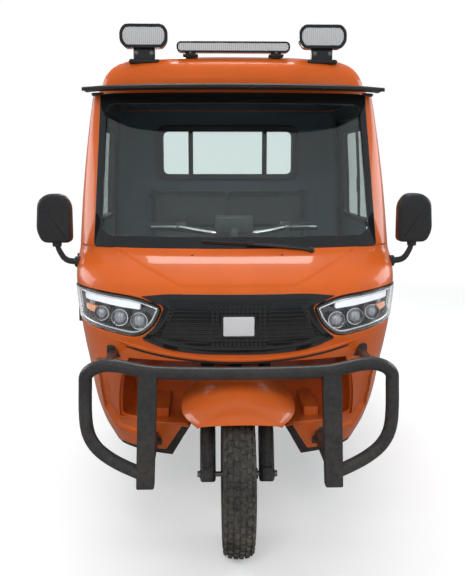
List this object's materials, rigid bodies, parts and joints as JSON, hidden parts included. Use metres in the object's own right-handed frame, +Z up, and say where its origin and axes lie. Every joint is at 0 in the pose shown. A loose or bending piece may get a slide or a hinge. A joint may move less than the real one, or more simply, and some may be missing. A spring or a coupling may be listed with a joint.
{
  "type": "electric tipper tricycle",
  "caption": "Enclosed-cab electric cargo tricycle with a steered front wheel, hinged doors, bull bar, roof lamps and a hydraulic tipping bed with a drop tailgate.",
  "frame": {"origin": "middle of the vehicle's box at ground level", "axes": "+Z up, +Y towards the tailgate (the nose faces -Y), +X towards the vehicle's left"},
  "size_m": [1.484, 3.47, 1.97],
  "materials": {
    "orange_paint": "gloss",
    "black_paint": "satin",
    "black_plastic": "satin",
    "trim": "matte",
    "glass": "clear",
    "lamp": "gloss",
    "steel": "satin",
    "rim": "satin",
    "tyre": "matte",
    "seat": "satin",
    "bed_paint": "satin"
  },
  "bodies": {
    "chassis": {"chassis_frame": "black_paint", "cab_nose": "orange_paint", "grille": "black_plastic", "cab_roof": "orange_paint", "cab_rear_wall": "orange_paint", "rear_window": "glass", "windshield": "glass", "visor": "black_plastic", "light_bar": "black_plastic", "bull_bar": "black_paint", "wiper": "black_plastic", "cab_floor": "trim", "seat_cushion": "seat", "seat_back": "seat", "dash": "trim", "battery_box": "black_plastic", "rear_axle": "black_paint", "rear_lamp_bar": "black_paint", "cab_side_left": "orange_paint", "headlight_left": "lamp", "spot_lamp_left": "black_plastic", "mirror_left": "black_plastic", "mudguard_rear_left": "black_plastic", "cab_side_right": "orange_paint", "headlight_right": "lamp", "spot_lamp_right": "black_plastic", "mirror_right": "black_plastic", "mudguard_rear_right": "black_plastic"},
    "steering": {"fork": "black_paint", "handlebar": "black_plastic", "front_mudguard": "orange_paint"},
    "wheel_front": {"tyre_front": "tyre", "rim_front": "rim"},
    "wheel_rear_left": {"tyre_rear_left": "tyre", "rim_rear_left": "rim"},
    "wheel_rear_right": {"tyre_rear_right": "tyre", "rim_rear_right": "rim"},
    "door_left": {"door_left": "orange_paint", "door_glass_left": "glass"},
    "door_right": {"door_right": "orange_paint", "door_glass_right": "glass"},
    "bed": {"bed_floor": "bed_paint", "bed_side_left": "bed_paint", "bed_side_right": "bed_paint", "bed_headboard": "bed_paint"},
    "tailgate": {"tailgate": "bed_paint"},
    "hoist_barrel": {"cylinder_barrel": "black_paint"},
    "hoist_rod": {"cylinder_rod": "steel"}
  },
  "joints": [
    {"name": "steering", "type": "hinge", "parent": "chassis", "child": "steering", "pos_m": [0, -1.23657, 0.7591], "axis": [0, 0.3746, 0.9272], "range_deg": [-35, 35]},
    {"name": "front_wheel_spin", "type": "hinge", "parent": "steering", "child": "wheel_front", "pos_m": [0, -1.435, 0.3], "axis": [1, 0, 0], "continuous": true},
    {"name": "rear_wheel_left_spin", "type": "hinge", "parent": "chassis", "child": "wheel_rear_left", "pos_m": [0.5, 0.87, 0.283], "axis": [1, 0, 0], "continuous": true},
    {"name": "rear_wheel_right_spin", "type": "hinge", "parent": "chassis", "child": "wheel_rear_right", "pos_m": [-0.5, 0.87, 0.283], "axis": [1, 0, 0], "continuous": true},
    {"name": "door_left_hinge", "type": "hinge", "parent": "chassis", "child": "door_left", "pos_m": [0.61, -1.089, 0.85], "axis": [0, 0, -1], "range_deg": [0, 65]},
    {"name": "door_right_hinge", "type": "hinge", "parent": "chassis", "child": "door_right", "pos_m": [-0.61, -1.089, 0.85], "axis": [0, 0, 1], "range_deg": [0, 65]},
    {"name": "bed_tilt", "type": "hinge", "parent": "chassis", "child": "bed", "pos_m": [0, 1.42, 0.57], "axis": [-1, 0, 0], "range_deg": [0, 45]},
    {"name": "tailgate_hinge", "type": "hinge", "parent": "bed", "child": "tailgate", "pos_m": [0, 1.716, 0.632], "axis": [-1, 0, 0], "range_deg": [0, 120]},
    {"name": "hoist_pivot", "type": "hinge", "parent": "chassis", "child": "hoist_barrel", "pos_m": [0, 1.22, 0.3], "axis": [-1, 0, 0], "range_deg": [0, 40]},
    {"name": "hoist_slide", "type": "slide", "parent": "hoist_barrel", "child": "hoist_rod", "axis": [0, -0.8192, 0.5735], "range_m": [0, 0.254]}
  ],
  "couplings": [
    {"joint": "hoist_pivot", "follows": "bed_tilt", "ratio": 0.872},
    {"joint": "hoist_slide", "follows": "bed_tilt", "m_per_rad": 0.3217}
  ]
}
